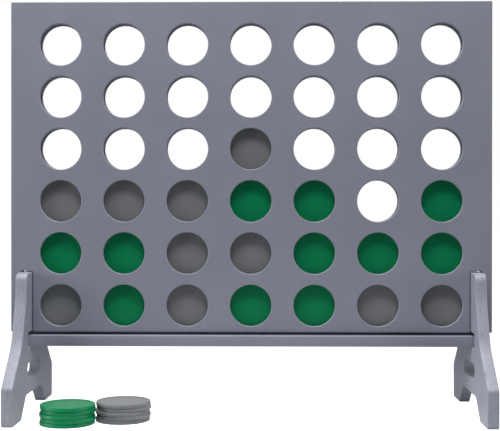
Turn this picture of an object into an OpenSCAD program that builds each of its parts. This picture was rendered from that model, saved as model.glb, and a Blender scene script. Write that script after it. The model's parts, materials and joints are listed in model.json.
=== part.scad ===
// Giant four in a row: a two-panel board with seven disc channels, slotted over two end legs, with a
// loose bottom rail that runs through the legs and closes the channels, and thirty-one playing discs.
// Millimetres. X runs along the board, Y from the players' front to the back, Z up.
// Origin: on the ground, at the middle of the board's width and of its thickness.

/* [Board] */
// Width of the board
board_w = 915; // [912:1:940]
// Thickness of each of the two panels
panel_t = 9; // [6:0.5:10]
// Gap between the two panels, which the discs drop into
channel_t = 12; // [9.5:0.5:14]
// Distance between two neighbouring columns
column_pitch = 120.9; // [119:0.1:121]
// Width of each channel between its two dividers
channel_w = 101.5; // [101:0.5:102.5]
// Diameter of the round windows
window_d = 78.7; // [70:0.1:86]
// Board above the middle of the top windows
top_margin = 81; // [60:1:100]

/* [Discs] */
// Diameter of a playing disc
disc_d = 99.1; // [97:0.1:99.5]
// Thickness of a playing disc
disc_t = 7.2; // [5:0.1:8]
// Width of the raised rim round both faces
rim_w = 5; // [3:0.5:8]
// Depth of the flat middle below the rim
recess = 1.2; // [0.5:0.1:2]

/* [Legs] */
// Thickness of a leg
leg_t = 21; // [18:0.5:22]
// Distance from the middle of the board to the inner face of a leg
leg_x = 417; // [416:0.5:418]
// Height of a leg
leg_h = 266; // [264:0.5:300]
// Depth of a leg at its feet, front to back
foot_span = 346; // [330:1:360]
// Depth of a leg at its top, front to back
top_span = 120; // [112:1:126]
// Air between a leg and each side of the board's slot round it
leg_gap = 1; // [0.5:0.5:1.5]
// Air between a leg's top and the top of the board's slot
leg_top_gap = 2.5; // [1:0.5:4]
// Width, front to back, of the hole that the bottom rail runs through
rail_hole = 98; // [80:1:100]
// Length of the hand hole
handle_w = 106; // [80:1:110]
// Height of the hand hole
handle_h = 28; // [24:1:30]

/* [Rail] */
// Height of the rail's underside above the ground
rail_z = 126.5; // [124:0.5:132]
// Height of the rail
rail_h = 20.5; // [16:0.5:21]
// Depth of the rail, front to back
rail_d = 58; // [40:1:64]
// Thickness of the tongue that closes the channels
tongue_t = 8; // [6:0.5:8.5]
// Height of the tongue above the rail
tongue_h = 5.9; // [5.1:0.1:6.4]

/* [Screws] */
// Shank diameter of a panel screw
screw_d = 4; // [3:0.5:4.5]
// Head diameter of a panel screw
screw_head_d = 8; // [7:0.5:9]
// Length of a panel screw with its head
screw_l = 18; // [14:0.5:20]
// Number of screws up each divider
screws_up = 4; // [2:1:6]

/* [Stacks] */
// Discs in each of the two stacks on the ground
stack_n = 5; // [1:1:6]
// Middle of the green stack, left of the board's middle
green_stack_x = -327.5; // [-350:0.5:-327.5]
// Middle of the green stack, in front of the board
green_stack_y = -129.5; // [-150:0.5:-129.5]
// Middle of the grey stack, left of the board's middle
grey_stack_x = -231.5; // [-231.5:0.5:-150]
// Middle of the grey stack, in front of the board
grey_stack_y = -95; // [-95:0.5:-80]

/* [Hidden] */
$fn = 96;

COLUMNS = 7;
ROWS = 6;
LETTERS = "abcdefg";
// The game in play, bottom row first: G is a green disc, S a grey one and a dot an empty place
GAME = ["SGSGGSS", "GGSSGGG", "SSSGG.G", "...S..."];

// Discs that roll on each other keep this much air between them
disc_gap = 0.3;
// Screws and their holes keep this much air all round
screw_gap = 0.05;
// Cutters run this far past the face that they open
past = 1;

board_t = 2 * panel_t + channel_t;
// Height of the tongue's top, which the dividers and the lowest discs stand on
tongue_top = rail_z + rail_h + tongue_h;
row_pitch = disc_d + disc_gap;
first_row_z = tongue_top + disc_gap + disc_d / 2;
board_top = first_row_z + (ROWS - 1) * row_pitch + top_margin;
// The panels hang past the tongue but stay clear of the rail
panel_foot = 5;
panel_z = rail_z + rail_h + panel_foot;
panel_h = board_top - panel_z;
rail_l = 2 * (leg_x + leg_t);
divider_w = column_pitch - channel_w;
divider_h = board_top - tongue_top;
strip_x = (COLUMNS - 1) / 2 * column_pitch + channel_w / 2;
strip_w = board_w / 2 - strip_x;

// Leg outline: heights and half depths of the corners of its flared sides
foot_h = 68;
flare_z = 134;
flare_y = 97;
shoulder_z = 218;
shoulder_y = 64;
// The rail's hole reaches this far above the rail, past the tongue
hole_step = 6.5;
rail_hole_z = rail_z + rail_h + hole_step;
leg_slot_w = leg_t + 2 * leg_gap;
leg_slot_z = leg_h + leg_top_gap;
// Middle of what is left of a side strip outside the leg's slot
strip_screw_x = (leg_x + leg_t + leg_gap + board_w / 2) / 2;
arch_h = 38.5;
arch_foot_y = 105;
arch_top_y = 64;
handle_z = 82.5;
arc_steps = 8;

screw_foot = 16;
screw_head_h = (screw_head_d - screw_d) / 2;
drive_w = 0.9;
drive_l = 4.6;
drive_h = 1.2;
rim_chamfer = 0.9;

paint = "#70727f";
leg_paint = "#8b8d9b";
green = "#1f9160";
grey = "#85888b";
steel = "#b9bbbe";

function column_x(i) = (i - (COLUMNS - 1) / 2) * column_pitch;
function row_z(j) = first_row_z + j * row_pitch;
function colour_word(mark) = mark == "G" ? "green" : "grey";
function disc_name(i, j) = str("disc_", LETTERS[i], j + 1, "_", colour_word(GAME[j][i]));
function stack_name(word, k) = str("stack_", word, "_", k + 1);
// Every disc in the board as [column, row]
PLACES = [for (j = [0:len(GAME) - 1]) for (i = [0:COLUMNS - 1]) if (GAME[j][i] != ".") [i, j]];
// Small sideways shifts that leave each stack a little uneven, one for each layer
SHIFTS = [[-1, 0.5], [0.5, 0], [-1.2, -0.5], [0.8, 0.5], [0, -0.5], [-1, 0]];

// Points of an arc of radius r that rounds the corner b between its neighbours a and c
function fillet(a, b, c, r) =
    let (
        u = (a - b) / norm(a - b),
        v = (c - b) / norm(c - b),
        half = acos(u * v) / 2,
        centre = b + (u + v) / norm(u + v) * r / sin(half),
        first = b + u * r / tan(half) - centre,
        last = b + v * r / tan(half) - centre,
        start = atan2(first.y, first.x),
        turn = (atan2(last.y, last.x) - start + 540) % 360 - 180
    )
    [for (s = [0:arc_steps]) let (w = start + turn * s / arc_steps) centre + r * [cos(w), sin(w)]];

// Outline through corners given as [across, up, radius]
module rounded_outline(corners) {
    n = len(corners);
    at = [for (c = corners) [c[0], c[1]]];
    polygon([
        for (k = [0:n - 1])
            each fillet(at[(k + n - 1) % n], at[k], at[(k + 1) % n], corners[k][2])
    ]);
}

// Back half of a leg's outline, from the arch's roof round the foot and the flare to the top
function leg_half() = [
    [arch_top_y, arch_h, 8],
    [arch_foot_y, 0, 5],
    [foot_span / 2, 0, 5],
    [foot_span / 2, foot_h, 10],
    [flare_y, flare_z, 90],
    [shoulder_y, shoulder_z, 150],
    [top_span / 2, leg_h, 16]
];

module leg_outline() {
    back = leg_half();
    last = len(back) - 1;
    front = [for (k = [last:-1:0]) [-back[k][0], back[k][1], back[k][2]]];
    rounded_outline(concat(back, front));
}

module handle_outline() {
    y = handle_w / 2;
    z = handle_h / 2;
    translate([0, handle_z])
        rounded_outline([[-y, -z, 12], [y, -z, 12], [y, z, 12], [-y, z, 12]]);
}

module rail_hole_outline() {
    y = rail_hole / 2;
    rounded_outline([[-y, rail_z, 3], [y, rail_z, 3], [y, rail_hole_z, 5], [-y, rail_hole_z, 5]]);
}

// A leg whose inner or outer face starts at x
module leg(x) {
    color(leg_paint)
        translate([x, 0, 0])
            rotate([90, 0, 90])
                linear_extrude(leg_t)
                    difference() {
                        leg_outline();
                        handle_outline();
                        rail_hole_outline();
                    }
}

module left_leg() {
    leg(-leg_x - leg_t);
}

module right_leg() {
    leg(leg_x);
}

// The board's two slots, open at its foot, that the legs stand in, drawn in X and Z
module leg_slots() {
    for (side = [-1, 1])
        translate([side * (leg_x + leg_t / 2) - leg_slot_w / 2, panel_z - past])
            square([leg_slot_w, leg_slot_z - panel_z + past]);
}

// Board outline with its forty-two windows and two slots, drawn in X and Z
module panel_outline() {
    difference() {
        translate([-board_w / 2, panel_z]) square([board_w, panel_h]);
        for (i = [0:COLUMNS - 1])
            for (j = [0:ROWS - 1])
                translate([column_x(i), row_z(j)]) circle(d = window_d);
        leg_slots();
    }
}

// A panel whose back face is at y
module panel(y) {
    translate([0, y, 0])
        rotate([90, 0, 0])
            linear_extrude(panel_t) panel_outline();
}

// Where the screws stand: the middle of each divider, and the side strips outside the legs
function screw_x() = concat(
    [for (i = [0:COLUMNS - 2]) column_x(i) + column_pitch / 2],
    [-strip_screw_x, strip_screw_x]
);

function screw_z(k) = tongue_top + screw_foot + k * (divider_h - 2 * screw_foot) / (screws_up - 1);

// One screw's solid shape on the Z axis with its head on top at zero, larger all round by extra
module screw_shape(extra) {
    translate([0, 0, -screw_l - extra]) cylinder(d = screw_d + 2 * extra, h = screw_l);
    translate([0, 0, -screw_head_h - extra])
        cylinder(
            d1 = screw_d + 2 * extra,
            d2 = screw_head_d + 2 * extra,
            h = screw_head_h + extra
        );
}

// Puts a copy of its children at every screw, with Z turned to face the back of the board
module at_screws() {
    for (x = screw_x())
        for (k = [0:screws_up - 1])
            translate([x, board_t / 2, screw_z(k)]) rotate([-90, 0, 0]) children();
}

module front_panel() {
    color(paint) panel(-channel_t / 2);
}

module back_panel() {
    color(paint)
        difference() {
            panel(board_t / 2);
            at_screws() screw_shape(screw_gap);
        }
}

// A spacer of width w between the panels, from x, with its holes for the screws at screw_at
module spacer(x, w, screw_at) {
    color(paint)
        difference() {
            translate([x, -channel_t / 2, tongue_top]) cube([w, channel_t, divider_h]);
            for (k = [0:screws_up - 1])
                translate([screw_at, board_t / 2, screw_z(k)])
                    rotate([-90, 0, 0]) screw_shape(screw_gap);
        }
}

// A side strip from x, slotted with the panels for its leg
module side_strip(x, screw_at) {
    color(paint)
        difference() {
            spacer(x, strip_w, screw_at);
            translate([0, board_t / 2, 0]) rotate([90, 0, 0]) linear_extrude(board_t) leg_slots();
        }
}

module left_side_strip() {
    side_strip(-board_w / 2, -strip_screw_x);
}

module right_side_strip() {
    side_strip(strip_x, strip_screw_x);
}

// Divider between column i and the one before it
module divider(i) {
    middle = column_x(i) - column_pitch / 2;
    spacer(middle - divider_w / 2, divider_w, middle);
}

module drive_cross() {
    for (turn = [0, 90])
        rotate([0, 0, turn])
            translate([-drive_l / 2, -drive_w / 2, -drive_h]) cube([drive_l, drive_w, drive_h + past]);
}

module panel_screws() {
    color(steel)
        at_screws()
            difference() {
                screw_shape(0);
                drive_cross();
            }
}

module bottom_rail() {
    color(paint) translate([-rail_l / 2, -rail_d / 2, rail_z]) cube([rail_l, rail_d, rail_h]);
}

module rail_tongue() {
    color(paint)
        translate([-rail_l / 2, -tongue_t / 2, rail_z + rail_h]) cube([rail_l, tongue_t, tongue_h]);
}

// A disc lying flat on zero: a chamfered edge, and a raised rim round a sunken middle on both faces
module disc() {
    r = disc_d / 2;
    inner = r - rim_w;
    rotate_extrude()
        polygon([
            [0, recess],
            [inner - recess, recess],
            [inner, 0],
            [r - rim_chamfer, 0],
            [r, rim_chamfer],
            [r, disc_t - rim_chamfer],
            [r - rim_chamfer, disc_t],
            [inner, disc_t],
            [inner - recess, disc_t - recess],
            [0, disc_t - recess]
        ]);
}

// The disc standing in column i and row j of the board
module board_disc(i, j) {
    color(GAME[j][i] == "G" ? green : grey)
        translate([column_x(i), disc_t / 2, row_z(j)]) rotate([90, 0, 0]) disc();
}

// Layer k of a stack whose middle is at x and y
module stack_disc(x, y, k) {
    translate([x + SHIFTS[k].x, y + SHIFTS[k].y, k * disc_t]) disc();
}

module green_stack_disc(k) {
    color(green) stack_disc(green_stack_x, green_stack_y, k);
}

module grey_stack_disc(k) {
    color(grey) stack_disc(grey_stack_x, grey_stack_y, k);
}

left_leg();
right_leg();
front_panel();
back_panel();
left_side_strip();
right_side_strip();
for (i = [1:COLUMNS - 1])
    divider(i);
panel_screws();
bottom_rail();
rail_tongue();
for (p = PLACES)
    board_disc(p[0], p[1]);
for (k = [0:stack_n - 1])
    green_stack_disc(k);
for (k = [0:stack_n - 1])
    grey_stack_disc(k);
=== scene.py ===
"""Giant four in a row: the finished look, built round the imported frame.

Every piece replaces its CAD node with a rounded-edged surface worked out as whole numpy arrays.
Metres; X along the board, Y from front to back, Z up.
"""

import json
import math

import bpy
import numpy as np
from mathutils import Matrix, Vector


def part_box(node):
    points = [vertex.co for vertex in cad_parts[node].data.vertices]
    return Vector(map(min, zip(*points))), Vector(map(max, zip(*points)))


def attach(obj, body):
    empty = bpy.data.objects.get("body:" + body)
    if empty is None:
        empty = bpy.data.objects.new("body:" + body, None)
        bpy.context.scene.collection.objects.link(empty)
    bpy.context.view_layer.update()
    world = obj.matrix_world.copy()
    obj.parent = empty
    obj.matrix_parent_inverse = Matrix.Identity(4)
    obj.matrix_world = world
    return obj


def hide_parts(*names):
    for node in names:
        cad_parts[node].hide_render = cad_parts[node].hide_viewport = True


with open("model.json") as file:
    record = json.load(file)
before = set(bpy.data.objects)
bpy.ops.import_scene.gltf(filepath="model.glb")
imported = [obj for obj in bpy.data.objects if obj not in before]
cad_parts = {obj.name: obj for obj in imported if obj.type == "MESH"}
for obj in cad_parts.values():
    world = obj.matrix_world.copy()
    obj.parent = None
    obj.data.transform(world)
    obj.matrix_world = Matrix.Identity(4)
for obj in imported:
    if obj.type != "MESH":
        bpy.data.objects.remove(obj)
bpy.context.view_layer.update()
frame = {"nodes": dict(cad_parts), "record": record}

bl_info = {
    "name": "Giant Four in a Row",
    "version": (1, 0, 0),
    "blender": (4, 5, 0),
    "location": "3D View > Sidebar > Four in a Row",
    "description": "Builds the board, legs, rail, discs and screws of a giant four in a row, and its stage",
    "category": "Object",
}

MM = 0.001


# ---------------------------------------------------------------- sizes read from the frame

def node_box(node):
    """Lowest and highest corner of a CAD node as numpy arrays."""
    low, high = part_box(node)
    return np.array(low), np.array(high)


def node_middle(node):
    """Middle of a CAD node's box."""
    low, high = node_box(node)
    return (low + high) / 2


def named(start):
    """The frame's nodes whose names begin with start, in order."""
    return sorted(name for name in frame["nodes"] if name.startswith(start))


def body_holding(node):
    """The body that a CAD node belongs to."""
    bodies = frame["record"]["behaviour"]["bodies"]
    return next(body for body, nodes in bodies.items() if node in nodes)


def linear(colour):
    """Linear RGB of an sRGB hex colour such as #7a7d89."""
    parts = [int(colour[k:k + 2], 16) / 255 for k in (1, 3, 5)]
    return tuple(c / 12.92 if c <= 0.04045 else ((c + 0.055) / 1.055) ** 2.4 for c in parts)


# ---------------------------------------------------------------- surfaces

def quarter(steps):
    """Sine and one minus cosine of 0 to 90 degrees in equal steps: a rounded edge's way in and down."""
    turn = np.linspace(0, math.pi / 2, steps + 1)
    return np.sin(turn), 1 - np.cos(turn)


def strip_faces(rings, around, start=0):
    """Quads between neighbouring rings of points, each ring a closed loop of `around` points."""
    ring, step = np.meshgrid(np.arange(rings - 1), np.arange(around), indexing="ij")
    here, beside = ring * around + step, ring * around + (step + 1) % around
    quads = np.stack([here, beside, beside + around, here + around], axis=-1)
    return quads.reshape(-1, 4) + start


def weld(points, faces, values):
    """Merges points that lie in one place, so that neighbouring patches share their seams."""
    # The shift keeps evenly spaced points off the halves, where rounding could go either way
    shift = 0.123
    keys = np.round(points / (0.01 * MM) + shift).astype(np.int64)
    _, first, where = np.unique(keys, axis=0, return_index=True, return_inverse=True)
    where = where.reshape(-1)
    merged = [where[face].tolist() for face in faces]
    return points[first], merged, {name: value[first] for name, value in values.items()}


def make_piece(name, points, faces, material, values=None):
    """A smooth-shaded mesh object from points and faces, with one float per point for each named value."""
    mesh = bpy.data.meshes.new(name)
    mesh.from_pydata(np.asarray(points, dtype=float).tolist(), [], [list(map(int, f)) for f in faces])
    mesh.polygons.foreach_set("use_smooth", np.ones(len(mesh.polygons), dtype=bool))
    for label, value in (values or {}).items():
        layer = mesh.attributes.new(label, "FLOAT", "POINT")
        layer.data.foreach_set("value", np.asarray(value, dtype=np.float32))
    mesh.materials.append(material)
    mesh.update()
    piece = bpy.data.objects.new(name, mesh)
    bpy.context.scene.collection.objects.link(piece)
    return piece


def stand_for(piece, node):
    """The piece takes a CAD node's place: it hides the node and rides on its body."""
    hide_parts(node)
    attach(piece, body_holding(node))


def cell_edges(middles, radius, low, high):
    """Bounds of the windows' cells along one axis.

    They lie half way between windows, and at the ends no farther out than half way to the plate's rim.
    """
    half = (middles[1] - middles[0]) / 2
    first = middles[0] - min(half, (radius + middles[0] - low) / 2)
    last = middles[-1] + min(half, (radius + high - middles[-1]) / 2)
    return np.concatenate([[first], (middles[1:] + middles[:-1]) / 2, [last]])


def edge_rings(low, high, rounding, steps):
    """Inset and depth of each ring round a sheet's rounded edge, from one face to the other, and how pale each
    ring is painted, partly as rubbing and partly as a painted highlight on the rounding.
    """
    sine, drop = quarter(steps)
    hold = 1.5 * rounding
    inset = np.concatenate([[hold], rounding * (1 - sine), rounding * (1 - sine)[::-1], [hold]])
    depth = np.concatenate([[low], low + rounding * drop, high - rounding * drop[::-1], [high]])
    # How pale the rounded edge is painted: partly rubbing, partly a painted highlight where the rounding would
    # catch the light
    worn_and_highlit = np.concatenate([[0], np.sin(np.linspace(0, math.pi, 2 * steps + 2)), [0]])
    return inset, depth, worn_and_highlit


def windowed_plate(low, high, columns, rows, radius, half, rounding, per_edge, steps=4):
    """A plate in X and Z with a grid of round windows, all its edges rounded.

    Each window has a rectangular cell. A ring of cell-edge points shrinks along its own angles to a circle,
    follows a quarter circle into the window, runs straight through, and comes back out on the far face. The
    plate's outline, given by its right half, rounds over the rim in the same way. Flat faces join the two.
    """
    inset, depth, worn_and_highlit = edge_rings(low[1], high[1], rounding, steps)
    slot = half[half[:, 0] > columns[-1] + radius][:, 0].min()
    x_edges = cell_edges(columns, radius, -slot, slot)
    z_edges = cell_edges(rows, radius, low[2], high[2])

    # A unit cell's loop and, at the same angles, a unit circle
    side = np.arange(per_edge) / per_edge
    nought, one = np.zeros(per_edge), np.ones(per_edge)
    cell = np.concatenate([
        np.stack([side, nought], axis=1), np.stack([one, side], axis=1),
        np.stack([1 - side, one], axis=1), np.stack([nought, 1 - side], axis=1),
    ])
    angle = np.arctan2(cell[:, 1] - 0.5, cell[:, 0] - 0.5)
    rings = (radius + inset)[:, None]
    windows = np.empty((len(columns), len(rows), len(inset) + 2, len(cell), 3))
    for axis, middles, edges, unit, turn in (
            (0, columns, x_edges, cell[:, 0], np.cos(angle)), (2, rows, z_edges, cell[:, 1], np.sin(angle))):
        frame_line = edges[:-1, None] + unit * np.diff(edges)[:, None]
        circles = middles[:, None, None] + rings * turn
        ring_line = np.concatenate([frame_line[:, None], circles, frame_line[:, None]], axis=1)
        windows[..., axis] = ring_line[:, None] if axis == 0 else ring_line[None]
    windows[..., 1] = np.concatenate([[low[1]], depth, [high[1]]])[:, None]
    count, around, each = windows.shape[2], windows.shape[3], windows.shape[2] * windows.shape[3]
    starts = np.arange(len(columns) * len(rows)) * each
    quads = (strip_faces(count, around)[None] + starts[:, None, None]).reshape(-1, 4)
    # The windows' rims are painted paler, partly as rubbing and partly as a painted highlight
    wear_and_highlight = np.concatenate([[0], worn_and_highlit, [0]])[:, None]

    # The outline's rings, then the loop round all the cells on either face, split along the middle line
    loop = whole_outline(half)
    rim = np.empty((len(inset), len(loop), 3))
    rim[..., [0, 2]] = np.stack([offset_outline(loop, d) for d in inset])
    rim[..., 1] = depth[:, None]
    rim_start = windows.size // 3
    quads = np.concatenate([quads, strip_faces(len(inset), len(loop), rim_start)[:, ::-1]])
    x_line = (x_edges[:-1, None] + side * np.diff(x_edges)[:, None]).reshape(-1)
    z_line = (z_edges[:-1, None] + side * np.diff(z_edges)[:, None]).reshape(-1)
    middle = int(np.argmin(np.abs(x_line)))
    right = np.concatenate([
        np.stack([x_line[middle:], 0 * x_line[middle:] + z_edges[0]], axis=1),
        np.stack([0 * z_line + x_edges[-1], z_line], axis=1),
        [[x_edges[-1], z_edges[-1]]],
        np.stack([x_line[middle:][::-1], 0 * x_line[middle:] + z_edges[-1]], axis=1),
    ])
    block = whole_outline(right)
    blocks = np.empty((2, len(block), 3))
    blocks[..., [0, 2]] = block
    blocks[..., 1] = [[low[1]], [high[1]]]
    block_start = rim_start + rim.size // 3
    sheets = []
    for ring, start, flip in (
            (rim_start, block_start, False),
            (rim_start + (len(inset) - 1) * len(loop), block_start + len(block), True)):
        sheets += split_face((ring, len(loop), len(half)), [(start, len(block), len(right))], flip)

    points = np.concatenate([windows.reshape(-1, 3), rim.reshape(-1, 3), blocks.reshape(-1, 3)])
    value = np.concatenate([
        np.broadcast_to(wear_and_highlight, windows.shape[:4]).reshape(-1),
        np.broadcast_to(worn_and_highlit[:, None], rim.shape[:2]).reshape(-1),
        np.zeros(2 * len(block)),
    ])
    return weld(points, quads.tolist() + sheets, {"edge": value})


def split_face(outer, holes, flip):
    """Two flat faces that fill a loop round any number of holes, parted along the middle line.

    Each loop is given as its first point, its number of points and how many of them make its first half. The
    holes run from the lowest to the highest.
    """
    start, count, half = outer
    back = [start + k for k in range(half)]
    for at, _, part in reversed(holes):
        back += [at + k for k in range(part - 1, -1, -1)]
    front = [start + k % count for k in range(half - 1, count + 1)]
    for at, whole, part in holes:
        front += [at + k % whole for k in range(whole, part - 2, -1)]
    return [face[::-1] if flip else face for face in (back, front)]


def rounded_bar(low, high, rounding, axis, steps=3):
    """A bar along one axis with every edge rounded.

    Its section is a rectangle whose corners are quarter circles. Towards each end the section shrinks as a
    quarter circle does, so that the corners come out as parts of a sphere.
    """
    others = [k for k in range(3) if k != axis]
    sine, drop = quarter(steps)
    half = (high - low)[others] / 2 - rounding
    middle = ((high + low) / 2)[others]
    turn = np.linspace(0, math.pi / 2, steps + 1)
    corner = np.concatenate([turn + k * math.pi / 2 for k in range(4)])
    signs = np.repeat(np.array([[1, 1], [-1, 1], [-1, -1], [1, -1]]), steps + 1, axis=0)
    least = 0.02 * rounding
    size = np.maximum(rounding * sine, least)
    size = np.concatenate([size, size[::-1]])
    place = np.concatenate([low[axis] + rounding * drop, high[axis] - rounding * drop[::-1]])
    section = np.stack([np.cos(corner), np.sin(corner)], axis=1)
    rings = middle + signs[None] * half + section[None] * size[:, None, None]
    points = np.empty(rings.shape[:2] + (3,))
    points[..., others[0]], points[..., others[1]] = rings[..., 0], rings[..., 1]
    points[..., axis] = place[:, None]
    around = len(corner)
    faces = strip_faces(len(size), around).tolist()
    faces += [list(range(around))[::-1], list(range((len(size) - 1) * around, len(size) * around))]
    # Paler paint along the rounded edges, partly as rubbing and partly as a painted highlight
    wear_and_highlight = np.broadcast_to(np.sin(2 * (corner % (math.pi / 2)))[None], rings.shape[:2]).reshape(-1)
    return points.reshape(-1, 3), faces, {"edge": np.clip(wear_and_highlight, 0, 1)}


def fillet(before, corner, after, radius, steps):
    """Points of the arc that rounds a corner: it touches both sides, and its middle is on their bisector."""
    u = (before - corner) / np.linalg.norm(before - corner)
    v = (after - corner) / np.linalg.norm(after - corner)
    half = math.acos(float(np.clip(u @ v, -1, 1))) / 2
    middle = corner + (u + v) / np.linalg.norm(u + v) * radius / math.sin(half)
    first = corner + u * radius / math.tan(half) - middle
    last = corner + v * radius / math.tan(half) - middle
    start = math.atan2(first[1], first[0])
    turn = (math.atan2(last[1], last[0]) - start + 3 * math.pi) % (2 * math.pi) - math.pi
    angle = start + turn * np.linspace(0, 1, steps + 1)
    return middle + radius * np.stack([np.cos(angle), np.sin(angle)], axis=1)


def half_outline(corners, steps=10):
    """Rounded corners of one side of a symmetric outline, between its two points on the middle line.

    corners holds [across, up, radius]; the first and last lie on the middle line and stay sharp.
    """
    at = np.array([c[:2] for c in corners])
    arcs = [at[:1]]
    for k in range(1, len(corners) - 1):
        arcs.append(fillet(at[k - 1], at[k], at[k + 1], corners[k][2], steps))
    arcs.append(at[-1:])
    return np.concatenate(arcs)


def rounded_loop(corners, radius, steps=4):
    """A closed outline through corners, each rounded by the same radius."""
    at = np.array(corners)
    count = len(at)
    arcs = [fillet(at[k - 1], at[k], at[(k + 1) % count], radius, steps) for k in range(count)]
    return np.concatenate(arcs)


def whole_outline(half):
    """One side of an outline and its mirror image, as one closed loop."""
    return np.concatenate([half, (half * [-1, 1])[-2:0:-1]])


def offset_outline(loop, distance):
    """A closed loop moved sideways: each point goes along the bisector of its two edges' normals."""
    edge = np.roll(loop, -1, axis=0) - loop
    edge = edge / np.linalg.norm(edge, axis=1, keepdims=True)
    normal = np.stack([edge[:, 1], -edge[:, 0]], axis=1)
    both = normal + np.roll(normal, 1, axis=0)
    length = np.linalg.norm(both, axis=1, keepdims=True)
    return loop - distance * both / length * (2 / length)


def run_length(loop):
    """Distance along a closed loop to each of its points."""
    steps = np.linalg.norm(np.diff(loop, axis=0), axis=1)
    return np.concatenate([[0], np.cumsum(steps)])


def slab(loop, low, high, rounding, steps=3):
    """A sheet cut to a closed outline in X and Z, between two depths, with every edge rounded."""
    inset, depth, worn_and_highlit = edge_rings(low, high, rounding, steps)
    rings = np.empty((len(inset), len(loop), 3))
    rings[..., [0, 2]] = np.stack([offset_outline(loop, d) for d in inset])
    rings[..., 1] = depth[:, None]
    count = len(loop)
    faces = strip_faces(len(inset), count)[:, ::-1].tolist()
    faces += [list(range(count)), list(range(len(inset) * count - 1, (len(inset) - 1) * count - 1, -1))]
    # Paler paint along the rounded edges, partly as rubbing and partly as a painted highlight
    return rings.reshape(-1, 3), faces, {"edge": np.repeat(worn_and_highlit, count)}


def cut_board(x_low, x_high, halves, rounding, steps=4):
    """A leg cut from a sheet: an outline in Y and Z with holes, carried through the sheet's thickness.

    Each loop starts inset on one face, follows a quarter circle out to the edge, runs across the edge and
    follows a quarter circle back in on the other face. The first half outline is the outer one; the rest are
    holes, from the lowest to the highest, and go round the other way.
    """
    inset, x, worn_and_highlit = edge_rings(x_low, x_high, rounding, steps)
    on_edge = np.clip((rounding - inset) / rounding, 0, 1)
    blocks, faces, starts, values = [], [], [], {"edge": [], "ply": [], "along": []}
    start = 0
    for half in halves:
        outer = not blocks
        loop = whole_outline(half)
        rings = np.stack([offset_outline(loop, d if outer else -d) for d in inset])
        block = np.empty(rings.shape[:2] + (3,))
        block[..., 0] = x[:, None]
        block[..., 1:] = rings
        blocks.append(block.reshape(-1, 3))
        quads = strip_faces(len(inset), len(loop), start)
        faces += (quads if outer else quads[:, ::-1]).tolist()
        starts.append((start, len(loop), len(half)))
        # Paler paint along the rounded edges, partly as rubbing and partly as a painted highlight
        values["edge"].append(np.broadcast_to(worn_and_highlit[:, None] ** 0.5, rings.shape[:2]).reshape(-1))
        values["ply"].append(np.broadcast_to(on_edge[:, None], rings.shape[:2]).reshape(-1))
        values["along"].append(np.broadcast_to(run_length(loop)[None], rings.shape[:2]).reshape(-1))
        start += block.size // 3
    far = [(at + (len(inset) - 1) * count, count, part) for at, count, part in starts]
    for loops, flip in ((starts, True), (far, False)):
        faces += split_face(loops[0], loops[1:], flip)
    return np.concatenate(blocks), faces, {k: np.concatenate(v) for k, v in values.items()}


def turned(profile, segments):
    """A profile of [radius, height] turned about Z. A profile end at radius nought closes in one point."""
    angle = np.arange(segments) * 2 * math.pi / segments
    body = profile[1:-1]
    points = np.empty((len(body), segments, 3))
    points[..., 0] = body[:, :1] * np.cos(angle)
    points[..., 1] = body[:, :1] * np.sin(angle)
    points[..., 2] = body[:, 1:]
    points = points.reshape(-1, 3)
    faces = strip_faces(len(body), segments).tolist()
    ends = np.array([[0, 0, profile[0, 1]], [0, 0, profile[-1, 1]]])
    first, last, rim = len(points), len(points) + 1, (len(body) - 1) * segments
    faces += [[first, (k + 1) % segments, k] for k in range(segments)]
    faces += [[last, rim + k, rim + (k + 1) % segments] for k in range(segments)]
    return np.concatenate([points, ends]), faces


def arc(centre, radius, start, stop, steps):
    """Points of an arc in [radius, height], from one angle to another in degrees."""
    angle = np.radians(np.linspace(start, stop, steps + 1))
    return np.stack([centre[0] + radius * np.cos(angle), centre[1] + radius * np.sin(angle)], axis=1)


def disc_profile(radius, thickness, rim, recess, rounding, seam):
    """Half section of a playing disc from the middle of its underside to the middle of its top.

    The sunken middle rises on a small fillet to a flat raised rim, the rim rolls over a rounded shoulder to
    the edge, and the mould's parting line stands out a little at half height.
    """
    inner = radius - rim
    shoulder = radius - rounding - seam
    edge = radius - seam
    lower = np.concatenate([
        [[0, recess], [inner * 0.5, recess], [inner - 3 * recess, recess]],
        arc((inner - 2 * recess, recess - recess * 0.6), recess * 0.6, 90, 50, 3),
        arc((inner - 0.2 * recess, recess * 0.5), recess * 0.5, 225, 270, 3),
        [[inner + rounding * 0.6, 0], [shoulder - rounding * 0.3, 0]],
        arc((shoulder, rounding), rounding, 270, 360, 5),
        [[edge, thickness / 2 - 2 * seam], [radius, thickness / 2 - seam * 0.7]],
    ])
    upper = lower[::-1] * [1, -1] + [0, thickness]
    return np.concatenate([lower, upper])


def standing(points, middle):
    """Points of a disc that lies round Z, stood on edge to face Y, and moved to its middle."""
    return np.stack([points[:, 0], -points[:, 2], points[:, 1]], axis=1) + middle


def lying(points, middle):
    """Points of a disc that lies round Z, moved to its middle."""
    return points + middle


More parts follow.
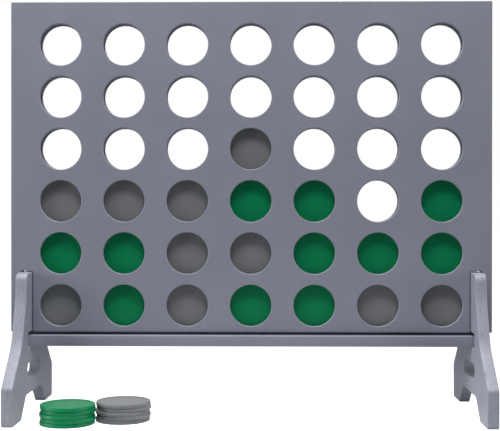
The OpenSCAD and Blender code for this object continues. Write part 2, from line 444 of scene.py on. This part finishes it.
def screw_surface(head, shank, length, drive_width, drive_length, drive_depth, around=32, rings=9):
    """A countersunk screw with its head's face at nought and its point down Z.

    The face is a polar grid that sinks, by a smooth step, wherever a point lies inside either bar of the
    cross. The cone and the shank below are turned.
    """
    angle = np.arange(around) * 2 * math.pi / around + math.pi / around
    reach = np.linspace(head / 2, head / 2 / rings, rings)
    x = reach[:, None] * np.cos(angle)
    y = reach[:, None] * np.sin(angle)

    def bar(p, q):
        inside = np.minimum(drive_width / 2 - np.abs(p), drive_length / 2 - np.abs(q))
        return np.clip(inside / (0.3 * drive_width) + 0.5, 0, 1)

    sunk = np.maximum(bar(x, y), bar(y, x))
    face = np.stack([x, y, -drive_depth * sunk], axis=-1).reshape(-1, 3)
    below = np.array([
        [head / 2, -0.03 * head],
        [shank / 2, -(head - shank) / 2],
        [shank / 2, 1.5 * shank - length],
    ])
    skirt = np.empty((len(below), around, 3))
    skirt[..., 0] = below[:, :1] * np.cos(angle)
    skirt[..., 1] = below[:, :1] * np.sin(angle)
    skirt[..., 2] = below[:, 1:]
    points = np.concatenate([skirt[::-1].reshape(-1, 3), face, [[0, 0, -drive_depth], [0, 0, -length]]])
    loops = len(below) + rings
    faces = strip_faces(loops, around).tolist()
    top, tip, rim = loops * around, loops * around + 1, (loops - 1) * around
    faces += [[top, rim + k, rim + (k + 1) % around] for k in range(around)]
    faces += [[tip, (k + 1) % around, k] for k in range(around)]
    return points, faces


# ---------------------------------------------------------------- materials

# Sockets of a Mix node that mixes colours; their names repeat, so they go by number
MIX_FACTOR, MIX_FIRST, MIX_SECOND, MIX_RESULT = 0, 6, 7, 2


def add(tree, kind, inputs=None, **settings):
    """Adds one node. An input given another node's socket is linked to it; one given a value is set."""
    made = tree.nodes.new(kind)
    for name, value in settings.items():
        setattr(made, name, value)
    for socket, value in (inputs or {}).items():
        if isinstance(value, bpy.types.NodeSocket):
            tree.links.new(value, made.inputs[socket])
        else:
            made.inputs[socket].default_value = value
    return made


def new_material(name):
    """An empty node material: its tree, its main shader and its object coordinates."""
    material = bpy.data.materials.new(name)
    material.use_nodes = True
    tree = material.node_tree
    shader = tree.nodes["Principled BSDF"]
    place = add(tree, "ShaderNodeTexCoord").outputs["Object"]
    return material, tree, shader, place


def per_metre(millimetres):
    """Texture scale, in repeats to the metre, of a pattern whose features are this many millimetres wide."""
    return 1 / (millimetres * MM)


def shade(colour, amount):
    """A colour made lighter (above one) or darker, with full alpha."""
    return tuple(min(1.0, c * amount) for c in colour[:3]) + (1.0,)


def set_tones(ramp, colour, darker, paler, start=0.0, stop=1.0):
    """Makes a colour ramp run from a darker to a paler shade of one colour."""
    for element, position, amount in zip(ramp.elements, (start, stop), (darker, paler)):
        element.position = position
        element.color = shade(colour, amount)


def rubbed_and_highlit_edges(tree, place, strength):
    """How pale an edge is painted, partly as rubbing from handling and partly as a painted highlight on the
    rounding:
    the piece's own edge value, broken up by patches 9 mm long.
    """
    edge = add(tree, "ShaderNodeAttribute", attribute_name="edge")
    broken = add(tree, "ShaderNodeTexNoise", {"Vector": place, "Scale": per_metre(9), "Detail": 3.0})
    patch = add(tree, "ShaderNodeMapRange", {
        "Value": broken.outputs["Fac"], "From Min": 0.35, "From Max": 0.7, "To Min": 0.3, "To Max": 1.0})
    paled_edge = add(tree, "ShaderNodeMath", {
        0: edge.outputs["Fac"], 1: patch.outputs["Result"]}, operation="MULTIPLY")
    return add(tree, "ShaderNodeMath", {0: paled_edge.outputs["Value"], 1: strength}, operation="MULTIPLY")


def painted_fibreboard(colour):
    """Satin acrylic paint, rolled on to smooth sheet. It gives the eye an even bluish grey with a soft sheen,
    faint broad patches where the coat is thicker, a fine roller stipple, and edges painted paler, partly as
    rubbing and partly as a painted highlight where the rounded edges and window rims would catch the light."""
    material, tree, shader, place = new_material("satin_painted_fibreboard")
    patches = add(tree, "ShaderNodeTexNoise", {"Vector": place, "Scale": per_metre(110), "Detail": 3.0})
    tone = add(tree, "ShaderNodeValToRGB", {"Fac": patches.outputs["Fac"]})
    set_tones(tone.color_ramp, colour, 0.955, 1.045, 0.3, 0.7)
    # Edges painted paler, partly as rubbing and partly as a painted highlight
    worn_and_highlit = add(tree, "ShaderNodeMix", {
        MIX_FACTOR: rubbed_and_highlit_edges(tree, place, 0.35).outputs["Value"],
        MIX_FIRST: tone.outputs["Color"],
        MIX_SECOND: shade(colour, 1.45),
    }, data_type="RGBA")
    tree.links.new(worn_and_highlit.outputs[MIX_RESULT], shader.inputs["Base Color"])
    sheen = add(tree, "ShaderNodeTexNoise", {"Vector": place, "Scale": per_metre(25), "Detail": 4.0})
    rough = add(tree, "ShaderNodeMapRange", {"Value": sheen.outputs["Fac"], "To Min": 0.40, "To Max": 0.56})
    tree.links.new(rough.outputs["Result"], shader.inputs["Roughness"])
    # Roller stipple is about 1 mm across; it is drawn at 3 mm so that it shows
    stipple = add(tree, "ShaderNodeTexNoise", {"Vector": place, "Scale": per_metre(3), "Detail": 2.0})
    bump = add(tree, "ShaderNodeBump", {
        "Height": stipple.outputs["Fac"], "Strength": 0.25, "Distance": 0.12 * MM})
    tree.links.new(bump.outputs["Normal"], shader.inputs["Normal"])
    return material


def painted_birch_plywood(colour, thickness, plies):
    """The same satin paint on birch plywood. It gives the eye the board's grey on the flat sides, and on the
    sawn edges faint lines between the layers and short darker streaks where end grain drank the paint."""
    material, tree, shader, place = new_material("satin_painted_birch_plywood")
    ply = add(tree, "ShaderNodeAttribute", attribute_name="ply").outputs["Fac"]
    along = add(tree, "ShaderNodeAttribute", attribute_name="along").outputs["Fac"]
    across = add(tree, "ShaderNodeSeparateXYZ", {"Vector": place}).outputs["X"]
    layer = thickness / plies
    # Streaks 22 mm long and about a layer thick, laid along the sawn edge
    lengths = add(tree, "ShaderNodeMath", {0: along, 1: per_metre(22)}, operation="MULTIPLY").outputs["Value"]
    layers = add(tree, "ShaderNodeMath", {0: across, 1: 1 / layer}, operation="MULTIPLY").outputs["Value"]
    run = add(tree, "ShaderNodeCombineXYZ", {"X": lengths, "Y": layers}).outputs["Vector"]
    streaks = add(tree, "ShaderNodeTexNoise", {
        "Vector": run, "Scale": 1.0, "Detail": 4.0, "Roughness": 0.65})
    dark = add(tree, "ShaderNodeMapRange", {
        "Value": streaks.outputs["Fac"], "From Min": 0.54, "From Max": 0.66, "To Min": 0.0, "To Max": 1.0})
    # A line at each joint between layers: how far a point is from the middle of its layer
    phase = add(tree, "ShaderNodeMath", {0: layers}, operation="FRACT").outputs["Value"]
    centred = add(tree, "ShaderNodeMath", {0: phase, 1: 0.5}, operation="SUBTRACT").outputs["Value"]
    away = add(tree, "ShaderNodeMath", {0: centred}, operation="ABSOLUTE").outputs["Value"]
    line = add(tree, "ShaderNodeMapRange", {
        "Value": away, "From Min": 0.36, "From Max": 0.5, "To Min": 0.0, "To Max": 0.5})
    either = add(tree, "ShaderNodeMath", {
        0: dark.outputs["Result"], 1: line.outputs["Result"]}, operation="MAXIMUM").outputs["Value"]
    grain = add(tree, "ShaderNodeMath", {0: either, 1: ply}, operation="MULTIPLY").outputs["Value"]

    patches = add(tree, "ShaderNodeTexNoise", {"Vector": place, "Scale": per_metre(70), "Detail": 3.0})
    tone = add(tree, "ShaderNodeValToRGB", {"Fac": patches.outputs["Fac"]})
    set_tones(tone.color_ramp, colour, 0.955, 1.045, 0.3, 0.7)
    soaked = add(tree, "ShaderNodeMath", {0: grain, 1: 0.6}, operation="MULTIPLY").outputs["Value"]
    streaked = add(tree, "ShaderNodeMix", {
        MIX_FACTOR: soaked,
        MIX_FIRST: tone.outputs["Color"],
        MIX_SECOND: shade(colour, 0.3),
    }, data_type="RGBA")
    # Edges painted paler, partly as rubbing and partly as a painted highlight
    worn_and_highlit = add(tree, "ShaderNodeMix", {
        MIX_FACTOR: rubbed_and_highlit_edges(tree, place, 0.3).outputs["Value"],
        MIX_FIRST: streaked.outputs[MIX_RESULT],
        MIX_SECOND: shade(colour, 1.4),
    }, data_type="RGBA")
    tree.links.new(worn_and_highlit.outputs[MIX_RESULT], shader.inputs["Base Color"])
    rough = add(tree, "ShaderNodeMath", {0: grain, 1: 0.2, 2: 0.46}, operation="MULTIPLY_ADD")
    tree.links.new(rough.outputs["Value"], shader.inputs["Roughness"])
    # The same stipple as the board's, with the grain sunk into it
    stipple = add(tree, "ShaderNodeTexNoise", {"Vector": place, "Scale": per_metre(3), "Detail": 2.0})
    rolled = add(tree, "ShaderNodeMath", {0: stipple.outputs["Fac"], 1: 0.3}, operation="MULTIPLY")
    height = add(tree, "ShaderNodeMath", {0: rolled.outputs["Value"], 1: grain}, operation="SUBTRACT")
    bump = add(tree, "ShaderNodeBump", {
        "Height": height.outputs["Value"], "Strength": 0.5, "Distance": 0.25 * MM})
    tree.links.new(bump.outputs["Normal"], shader.inputs["Normal"])
    return material


def moulded_abs(colour, name):
    """Injection-moulded ABS with a satin tool finish. It gives the eye an even, slightly waxy colour, a soft
    highlight along the raised rim, a fine spark-eroded grain, and a rim painted paler towards its edge in
    patches, partly as scuffs and partly as a painted highlight."""
    material, tree, shader, place = new_material(name)
    shader.inputs["Specular IOR Level"].default_value = 0.25
    flow = add(tree, "ShaderNodeTexNoise", {"Vector": place, "Scale": per_metre(35), "Detail": 2.0})
    tone = add(tree, "ShaderNodeValToRGB", {"Fac": flow.outputs["Fac"]})
    set_tones(tone.color_ramp, colour, 0.95, 1.05)
    # The rim painted paler, partly as scuffs and partly as a painted highlight
    scuffed_and_highlit = add(tree, "ShaderNodeMix", {
        MIX_FACTOR: rubbed_and_highlit_edges(tree, place, 0.25).outputs["Value"],
        MIX_FIRST: tone.outputs["Color"],
        MIX_SECOND: shade(colour, 1.5),
    }, data_type="RGBA")
    tree.links.new(scuffed_and_highlit.outputs[MIX_RESULT], shader.inputs["Base Color"])
    handled = add(tree, "ShaderNodeTexNoise", {"Vector": place, "Scale": per_metre(12), "Detail": 4.0})
    rough = add(tree, "ShaderNodeMapRange", {"Value": handled.outputs["Fac"], "To Min": 0.30, "To Max": 0.46})
    tree.links.new(rough.outputs["Result"], shader.inputs["Roughness"])
    # The tool's grain is about 0.2 mm; it is drawn at 1 mm so that it shows
    grain = add(tree, "ShaderNodeTexNoise", {"Vector": place, "Scale": per_metre(1), "Detail": 2.0})
    bump = add(tree, "ShaderNodeBump", {
        "Height": grain.outputs["Fac"], "Strength": 0.15, "Distance": 0.05 * MM})
    tree.links.new(bump.outputs["Normal"], shader.inputs["Normal"])
    return material


def zinc_plated_steel(colour):
    """Bright zinc on a pressed screw head. It gives the eye a cool grey metal with a slightly cloudy gloss."""
    material, tree, shader, place = new_material("zinc_plated_steel")
    shader.inputs["Metallic"].default_value = 1.0
    cloud = add(tree, "ShaderNodeTexNoise", {"Vector": place, "Scale": per_metre(1.5), "Detail": 3.0})
    tone = add(tree, "ShaderNodeValToRGB", {"Fac": cloud.outputs["Fac"]})
    set_tones(tone.color_ramp, colour, 0.8, 1.1)
    tree.links.new(tone.outputs["Color"], shader.inputs["Base Color"])
    rough = add(tree, "ShaderNodeMapRange", {"Value": cloud.outputs["Fac"], "To Min": 0.25, "To Max": 0.45})
    tree.links.new(rough.outputs["Result"], shader.inputs["Roughness"])
    return material


def matt_paper(near, far, glow):
    """Matt white background paper, lit so hard that it burns out. It gives the eye a plain pale ground with no
    gloss. It throws light up under the game and less of it farther off. The glow is seen directly and lights
    nothing."""
    material, tree, shader, place = new_material("matt_background_paper")
    fibres = add(tree, "ShaderNodeTexNoise", {"Vector": place, "Scale": per_metre(4), "Detail": 2.0})
    rough = add(tree, "ShaderNodeMapRange", {"Value": fibres.outputs["Fac"], "To Min": 0.85, "To Max": 0.95})
    tree.links.new(rough.outputs["Result"], shader.inputs["Roughness"])
    stretched = add(tree, "ShaderNodeMapping", {"Vector": place, "Scale": (1.0, 1.6, 1.0)})
    reach = add(tree, "ShaderNodeVectorMath", {0: stretched.outputs["Vector"]}, operation="LENGTH")
    fade = add(tree, "ShaderNodeMapRange", {
        "Value": reach.outputs["Value"], "From Min": 0.4, "From Max": 1.3}, interpolation_type="SMOOTHSTEP")
    tone = add(tree, "ShaderNodeMix", {
        MIX_FACTOR: fade.outputs["Result"],
        MIX_FIRST: shade(near, 1),
        MIX_SECOND: shade(far, 1),
    }, data_type="RGBA")
    tree.links.new(tone.outputs[MIX_RESULT], shader.inputs["Base Color"])
    shader.inputs["Specular IOR Level"].default_value = 0.1
    shader.inputs["Emission Color"].default_value = (1, 1, 1, 1)
    seen = add(tree, "ShaderNodeLightPath").outputs["Is Camera Ray"]
    glowing = add(tree, "ShaderNodeMath", {0: seen, 1: glow}, operation="MULTIPLY")
    tree.links.new(glowing.outputs["Value"], shader.inputs["Emission Strength"])
    return material


def shared(name, build):
    """The material of that name, built the first time that it is asked for."""
    return bpy.data.materials.get(name) or build()


def board_paint():
    """The paint that the panels, spacers and rail share."""
    settings = bpy.context.scene.four_board
    return shared("satin_painted_fibreboard", lambda: painted_fibreboard(settings.paint))


# ---------------------------------------------------------------- settings

def length(name, description, default):
    """A size that a user may change, in metres."""
    return bpy.props.FloatProperty(name=name, description=description, default=default, min=0, unit="LENGTH")


def colour(name, description, default):
    """A colour that a user may change; its default is an sRGB hex value."""
    return bpy.props.FloatVectorProperty(
        name=name, description=description, default=linear(default), min=0, max=1, subtype="COLOR")


def power(name, description, default):
    """A light's power that a user may change, in watts."""
    return bpy.props.FloatProperty(name=name, description=description, default=default, min=0, unit="POWER")


def brightness(name, description, default):
    """A brightness that a user may change; one is full white."""
    return bpy.props.FloatProperty(name=name, description=description, default=default, min=0)


def bearing(name, description, degrees):
    """An angle that a user may change; its default is in degrees."""
    return bpy.props.FloatProperty(
        name=name, description=description, default=math.radians(degrees), subtype="ANGLE")


class BoardSettings(bpy.types.PropertyGroup):
    paint: colour("Paint", "Colour of the board's and the rail's paint", "#7f828f")
    window: length("Window", "Diameter of each round window", 79.1 * MM)
    rounding: length("Window rounding", "Radius of the rounded edges of the panels and windows", 1.3 * MM)
    bar_rounding: length("Bar rounding", "Radius of the rounded edges of the spacers and the rail", 1.5 * MM)
    leg_gap: length("Leg gap", "Air between a leg and each side of its slot in the board", 1 * MM)
    leg_top_gap: length("Leg top gap", "Air between a leg's top and the top of its slot", 2.5 * MM)
    per_edge: bpy.props.IntProperty(
        name="Points a side", description="Points along each side of a window's cell", default=24, min=6)


class LegSettings(bpy.types.PropertyGroup):
    paint: colour("Paint", "Colour of the legs' paint", "#8d8f9b")
    rounding: length("Edge rounding", "Radius of the rounded edges of the legs", 1.8 * MM)
    plies: bpy.props.IntProperty(name="Plies", description="Layers in the plywood", default=9, min=3)


class DiscSettings(bpy.types.PropertyGroup):
    green: colour("Green", "Colour of one player's discs", "#007b4c")
    grey: colour("Grey", "Colour of the other player's discs", "#757779")
    rim: length("Rim", "Width of the raised rim", 5 * MM)
    recess: length("Recess", "Depth of the sunken middle below the rim", 1.2 * MM)
    rounding: length("Shoulder", "Radius of the rounded shoulder of the rim", 1.3 * MM)
    seam: length("Parting line", "Height of the mould's parting line on the edge", 0.15 * MM)
    segments: bpy.props.IntProperty(name="Segments", description="Steps round a disc", default=112, min=24)


class ScrewSettings(bpy.types.PropertyGroup):
    zinc: colour("Zinc", "Colour of the screws' plating", "#bfc1c4")
    head: length("Head", "Diameter of a screw's head", 8 * MM)
    shank: length("Shank", "Diameter of a screw's shank", 4 * MM)
    drive_width: length("Drive width", "Width of each bar of the cross", 0.9 * MM)
    drive_length: length("Drive length", "Length of each bar of the cross", 4.6 * MM)
    drive_depth: length("Drive depth", "Depth of the cross", 1.2 * MM)


class StageSettings(bpy.types.PropertyGroup):
    ground: colour("Ground", "Colour of the floor paper under the game", "#dcdcde")
    ground_far: colour("Far ground", "Colour of the floor paper away from the game", "#606062")
    glow: brightness("Glow", "Extra brightness of the floor as it is seen directly", 1.0)
    camera: bpy.props.FloatVectorProperty(
        name="Camera", description="Where the camera stands", default=(0.033, -2.0423, 0.3807),
        subtype="TRANSLATION", unit="LENGTH")
    turn: bearing("Turn", "How far the camera turns to the left of straight ahead", 0.972)
    tilt: bearing("Tilt", "How far the camera looks up", -0.187)
    roll: bearing("Roll", "How far the camera leans to its right", -0.030)
    lens: bpy.props.FloatProperty(
        name="Lens", description="Focal length in millimetres", default=76.79, min=10)
    key: power("Key light", "Power of the light above and in front", 51)
    top: power("Top light", "Power of the light straight above", 34)
    fill: power("Left light", "Power of the light on the left", 30)
    side: power("Right light", "Power of the light on the right", 16)
    sky: brightness("Sky", "Strength of the even light from the front", 0.05)
    wall: brightness("Wall", "Strength of the light off the white wall behind", 0.55)


# ---------------------------------------------------------------- operators

class PieceOperator:
    """What every operator here has in common."""

    bl_options = {"REGISTER", "UNDO"}


def leg_slot(leg):
    """Inner side, outer side and top of the board's slot round a leg."""
    low, high = node_box(leg)
    settings = bpy.context.scene.four_board
    away = math.copysign(1, low[0] + high[0])
    inner, outer = sorted((low[0], high[0]), key=abs)
    return inner - away * settings.leg_gap, outer + away * settings.leg_gap, high[2] + settings.leg_top_gap


class FOUR_OT_panels(PieceOperator, bpy.types.Operator):
    """Builds the front and back panels with their round windows and the slots for the legs"""

    bl_idname = "four.panels"
    bl_label = "Panels"

    def execute(self, context):
        settings = context.scene.four_board
        first, beside = node_middle("disc_a1_grey"), node_middle("disc_b1_green")
        above = node_middle("disc_a2_green")
        columns = first[0] + np.arange(7) * (beside[0] - first[0])
        rows = first[2] + np.arange(6) * (above[2] - first[2])
        for node in ("front_panel", "back_panel"):
            low, high = node_box(node)
            inner, outer, top = leg_slot("right_leg")
            # A corner's radius has to be larger than the edge rings' whole inset
            corner = 2 * settings.rounding
            half = half_outline([
                [0, low[2], 0],
                [inner, low[2], corner],
                [inner, top, corner],
                [outer, top, corner],
                [outer, low[2], corner],
                [high[0], low[2], corner],
                [high[0], high[2], corner],
                [0, high[2], 0],
            ], steps=4)
            points, faces, values = windowed_plate(
                low, high, columns, rows, settings.window / 2, half, settings.rounding, settings.per_edge)
            stand_for(make_piece(node + "_sheet", points, faces, board_paint(), values), node)
        return {"FINISHED"}


class FOUR_OT_spacers(PieceOperator, bpy.types.Operator):
    """Builds the dividers and the side strips between the panels"""

    bl_idname = "four.spacers"
    bl_label = "Dividers and side strips"

    def execute(self, context):
        settings = context.scene.four_board
        small = 0.4 * settings.bar_rounding
        for node in named("divider_"):
            low, high = node_box(node)
            points, faces, values = rounded_bar(low, high, small, axis=2)
            stand_for(make_piece(node + "_bar", points, faces, board_paint(), values), node)
        for side in ("left", "right"):
            node = side + "_side_strip"
            low, high = node_box(node)
            inner, outer, top = leg_slot(side + "_leg")
            slot_low, slot_high = min(inner, outer), max(inner, outer)
            loop = rounded_loop([
                [low[0], low[2]], [slot_low, low[2]], [slot_low, top], [slot_high, top],
                [slot_high, low[2]], [high[0], low[2]], [high[0], high[2]], [low[0], high[2]],
            ], 2 * small)
            points, faces, values = slab(loop, low[1], high[1], small)
            stand_for(make_piece(node + "_bar", points, faces, board_paint(), values), node)
        return {"FINISHED"}


class FOUR_OT_rail(PieceOperator, bpy.types.Operator):
    """Builds the bottom rail and the tongue on it"""

    bl_idname = "four.rail"
    bl_label = "Rail and tongue"

    def execute(self, context):
        settings = context.scene.four_board
        for node, share in (("bottom_rail", 1.0), ("rail_tongue", 0.5)):
            low, high = node_box(node)
            points, faces, values = rounded_bar(low, high, share * settings.bar_rounding, axis=0)
            stand_for(make_piece(node + "_bar", points, faces, board_paint(), values), node)
        return {"FINISHED"}


class FOUR_OT_legs(PieceOperator, bpy.types.Operator):
    """Builds the two plywood legs with their holes for a hand and for the rail"""

    bl_idname = "four.legs"
    bl_label = "Legs"

    def execute(self, context):
        settings = context.scene.four_leg
        for node in ("left_leg", "right_leg"):
            low, high = node_box(node)
            rail_low, _ = node_box("bottom_rail")
            foot, top, floor = high[1], high[2], rail_low[2]
            arch_top, hole_width, hole_top = 38.5 * MM, 49 * MM, 153.5 * MM
            hand_width, hand_low, hand_high = 53 * MM, 68.5 * MM, 96.5 * MM
            outer = half_outline([
                [0, arch_top, 0],
                [64 * MM, arch_top, 8 * MM],
                [105 * MM, low[2], 5 * MM],
                [foot, low[2], 5 * MM],
                [foot, 68 * MM, 10 * MM],
                [97 * MM, 134 * MM, 90 * MM],
                [64 * MM, 218 * MM, 150 * MM],
                [60 * MM, top, 16 * MM],
                [0, top, 0],
            ])
            handle = half_outline([
                [0, hand_low, 0],
                [hand_width, hand_low, 12 * MM],
                [hand_width, hand_high, 12 * MM],
                [0, hand_high, 0],
            ])
            rail_hole = half_outline([
                [0, floor, 0],
                [hole_width, floor, 3 * MM],
                [hole_width, hole_top, 5 * MM],
                [0, hole_top, 0],
            ])
            points, faces, values = cut_board(low[0], high[0], [outer, handle, rail_hole], settings.rounding)
            wood = shared(
                "satin_painted_birch_plywood",
                lambda: painted_birch_plywood(settings.paint, high[0] - low[0], settings.plies))
            stand_for(make_piece(node + "_board", points, faces, wood, values), node)
        return {"FINISHED"}


def disc_material(node):
    """Green or grey plastic, by the colour in the node's name."""
    settings = bpy.context.scene.four_disc
    if "green" in node:
        return shared("moulded_abs_green", lambda: moulded_abs(settings.green, "moulded_abs_green"))
    return shared("moulded_abs_grey", lambda: moulded_abs(settings.grey, "moulded_abs_grey"))


def build_disc(node, axis, place):
    """One disc, turned about its axis and placed with place()."""
    settings = bpy.context.scene.four_disc
    low, high = node_box(node)
    thickness = high[axis] - low[axis]
    radius = np.delete(high - low, axis).max() / 2
    profile = disc_profile(
        radius, thickness, settings.rim, settings.recess, settings.rounding, settings.seam)
    points, faces = turned(profile, settings.segments)
    far = np.hypot(points[:, 0], points[:, 1])
    # The rim is painted paler towards its edge, partly as scuffs and partly as a painted highlight
    worn_and_highlit = np.clip((far - (radius - settings.rim)) / settings.rim, 0, 1)
    points = points - [0, 0, thickness / 2]
    piece = make_piece(
        node + "_moulding", place(points, (low + high) / 2), faces, disc_material(node), {"edge": worn_and_highlit})
    stand_for(piece, node)


class FOUR_OT_board_discs(PieceOperator, bpy.types.Operator):
    """Builds the discs that stand in the board's channels"""

    bl_idname = "four.board_discs"
    bl_label = "Discs in the board"

    def execute(self, context):
        for node in named("disc_"):
            build_disc(node, 1, standing)
        return {"FINISHED"}


class FOUR_OT_stack_discs(PieceOperator, bpy.types.Operator):
    """Builds the two stacks of discs on the ground"""

    bl_idname = "four.stack_discs"
    bl_label = "Stacked discs"

    def execute(self, context):
        for node in named("stack_"):
            build_disc(node, 2, lying)
        return {"FINISHED"}


class FOUR_OT_screws(PieceOperator, bpy.types.Operator):
    """Builds the countersunk screws that hold the back panel on"""

    bl_idname = "four.screws"
    bl_label = "Panel screws"

    def execute(self, context):
        settings = context.scene.four_screw
        low, high = node_box("panel_screws")
        rim = settings.head / 2
        spacers = [node_middle(n)[0] for n in named("divider_")] + [low[0] + rim, high[0] - rim]
        heights = np.linspace(low[2] + rim, high[2] - rim, 4)
        points, faces = screw_surface(
            settings.head, settings.shank, high[1] - low[1],
            settings.drive_width, settings.drive_length, settings.drive_depth)
        spots = np.stack(np.meshgrid(spacers, heights, indexing="ij"), axis=-1).reshape(-1, 2)
        turned_back = np.stack([points[:, 0], points[:, 2] + high[1], -points[:, 1]], axis=1)
        moved = turned_back[None] + np.stack([spots[:, 0], 0 * spots[:, 0], spots[:, 1]], axis=1)[:, None]
        every = [[v + k * len(points) for v in f] for k in range(len(spots)) for f in faces]
        steel = shared("zinc_plated_steel", lambda: zinc_plated_steel(settings.zinc))
        stand_for(make_piece("panel_screws_set", moved.reshape(-1, 3), every, steel), "panel_screws")
        return {"FINISHED"}


def add_light(name, power, size, place, aim):
    """A soft rectangular light at place that points at aim."""
    lamp = bpy.data.lights.new(name, "AREA")
    lamp.energy = power
    lamp.shape, lamp.size, lamp.size_y = "RECTANGLE", size[0], size[1]
    holder = bpy.data.objects.new(name, lamp)
    bpy.context.scene.collection.objects.link(holder)
    holder.location = place
    direction = Vector(aim) - Vector(place)
    holder.rotation_euler = direction.to_track_quat("-Z", "Y").to_euler()


def floor_sheet(size, cells):
    """A flat square grid on the ground."""
    line = np.linspace(-size / 2, size / 2, cells + 1)
    x, y = np.meshgrid(line, line, indexing="xy")
    points = np.stack([x, y, 0 * x], axis=-1).reshape(-1, 3)
    row, column = np.meshgrid(np.arange(cells), np.arange(cells), indexing="ij")
    here = (row * (cells + 1) + column).reshape(-1)
    return points, np.stack([here, here + 1, here + cells + 2, here + cells + 1], axis=1)


class FOUR_OT_stage(PieceOperator, bpy.types.Operator):
    """Builds the pale floor, the soft lights and the camera"""

    bl_idname = "four.stage"
    bl_label = "Stage"

    def execute(self, context):
        scene = context.scene
        settings = scene.four_stage
        points, faces = floor_sheet(30, 24)
        paper = matt_paper(settings.ground, settings.ground_far, settings.glow)
        ground = make_piece("floor_paper", points, faces, paper)

        world = bpy.data.worlds.new("even_light")
        world.use_nodes = True
        tree = world.node_tree
        seen = add(tree, "ShaderNodeLightPath").outputs["Is Camera Ray"]
        way = add(tree, "ShaderNodeTexCoord").outputs["Generated"]
        backwards = add(tree, "ShaderNodeSeparateXYZ", {"Vector": way}).outputs["Y"]
        ramp = add(tree, "ShaderNodeMapRange", {
            "Value": backwards, "From Min": -0.2, "From Max": 0.5,
            "To Min": settings.sky, "To Max": settings.wall,
        }, interpolation_type="SMOOTHSTEP")
        strength = add(tree, "ShaderNodeMath", {0: seen, 1: ramp.outputs["Result"]}, operation="MAXIMUM")
        tree.nodes["Background"].inputs["Color"].default_value = (1, 1, 1, 1)
        tree.links.new(strength.outputs["Value"], tree.nodes["Background"].inputs["Strength"])
        scene.world = world

        add_light("overhead_softbox", settings.key, (1.6, 0.6), (-0.15, -1.05, 2.6), (0, -0.05, 0.4))
        add_light("top_softbox", settings.top, (1.6, 0.5), (0, -0.2, 2.5), (0, -0.1, 0.3))
        add_light("left_softbox", settings.fill, (1.0, 1.0), (-2.3, -0.65, 0.8), (0.1, 0, 0.3))
        add_light("right_softbox", settings.side, (1.0, 1.0), (2.3, -0.65, 0.8), (-0.1, 0, 0.3))

        camera = bpy.data.cameras.new("camera")
        camera.lens, camera.sensor_width = settings.lens, 36
        camera.clip_end = 60
        holder = bpy.data.objects.new("camera", camera)
        scene.collection.objects.link(holder)
        holder.location = settings.camera
        holder.rotation_euler = (math.radians(90) + settings.tilt, settings.roll, settings.turn)
        scene.camera = holder
        scene.view_settings.view_transform = "Standard"
        return {"FINISHED"}


class FOUR_PT_sidebar(bpy.types.Panel):
    """Lists the pieces' settings and the operators that build them"""

    bl_label = "Four in a Row"
    bl_idname = "FOUR_PT_sidebar"
    bl_space_type = "VIEW_3D"
    bl_region_type = "UI"
    bl_category = "Four in a Row"

    def draw(self, context):
        layout = self.layout
        for label, name in SETTINGS_SHOWN:
            box = layout.box()
            box.label(text=label)
            group = getattr(context.scene, name)
            for field in group.__annotations__:
                box.prop(group, field)
        for operator in OPERATORS:
            layout.operator(operator.bl_idname)


OPERATORS = (
    FOUR_OT_panels,
    FOUR_OT_spacers,
    FOUR_OT_rail,
    FOUR_OT_legs,
    FOUR_OT_board_discs,
    FOUR_OT_stack_discs,
    FOUR_OT_screws,
    FOUR_OT_stage,
)
SETTINGS = {
    "four_board": BoardSettings,
    "four_leg": LegSettings,
    "four_disc": DiscSettings,
    "four_screw": ScrewSettings,
    "four_stage": StageSettings,
}
SETTINGS_SHOWN = (
    ("Board", "four_board"),
    ("Legs", "four_leg"),
    ("Discs", "four_disc"),
    ("Screws", "four_screw"),
    ("Stage", "four_stage"),
)


def register():
    for group in SETTINGS.values():
        bpy.utils.register_class(group)
    for name, group in SETTINGS.items():
        setattr(bpy.types.Scene, name, bpy.props.PointerProperty(type=group))
    for operator in OPERATORS:
        bpy.utils.register_class(operator)
    bpy.utils.register_class(FOUR_PT_sidebar)


def unregister():
    bpy.utils.unregister_class(FOUR_PT_sidebar)
    for operator in reversed(OPERATORS):
        bpy.utils.unregister_class(operator)
    for name, group in SETTINGS.items():
        delattr(bpy.types.Scene, name)
        bpy.utils.unregister_class(group)


def main():
    """Registers the add-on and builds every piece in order."""
    register()
    bpy.ops.four.panels()
    bpy.ops.four.spacers()
    bpy.ops.four.rail()
    bpy.ops.four.legs()
    bpy.ops.four.board_discs()
    bpy.ops.four.stack_discs()
    bpy.ops.four.screws()
    bpy.ops.four.stage()


if __name__ == "__main__":
    main()
